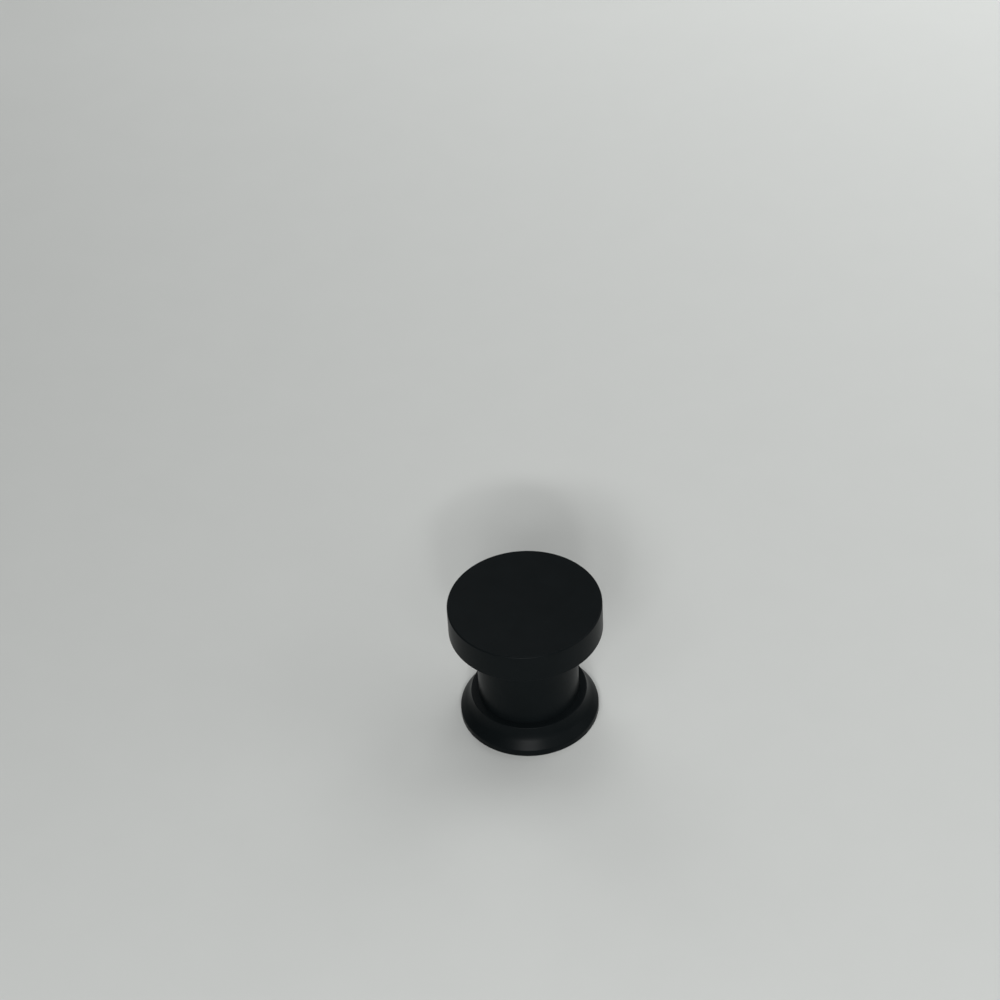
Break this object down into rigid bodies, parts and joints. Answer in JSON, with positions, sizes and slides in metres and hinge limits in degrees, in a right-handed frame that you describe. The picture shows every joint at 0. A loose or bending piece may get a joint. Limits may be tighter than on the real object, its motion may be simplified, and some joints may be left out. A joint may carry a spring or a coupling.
{
  "type": "cabinet knob",
  "caption": "Round cabinet knob with a flat disc head, a thick straight neck and a flared base with a tapped blind hole.",
  "frame": {"origin": "centre of the base's flat face, which meets the door or drawer front", "axes": "+Z runs along the knob's axis from the base to the head; -Z points out of the screw hole's mouth"},
  "size_m": [0.03, 0.03, 0.0283],
  "materials": {
    "black_finish": "matt black powder coat over cast zinc alloy"
  },
  "bodies": {
    "root": {"knob": "black_finish"}
  },
  "joints": []
}
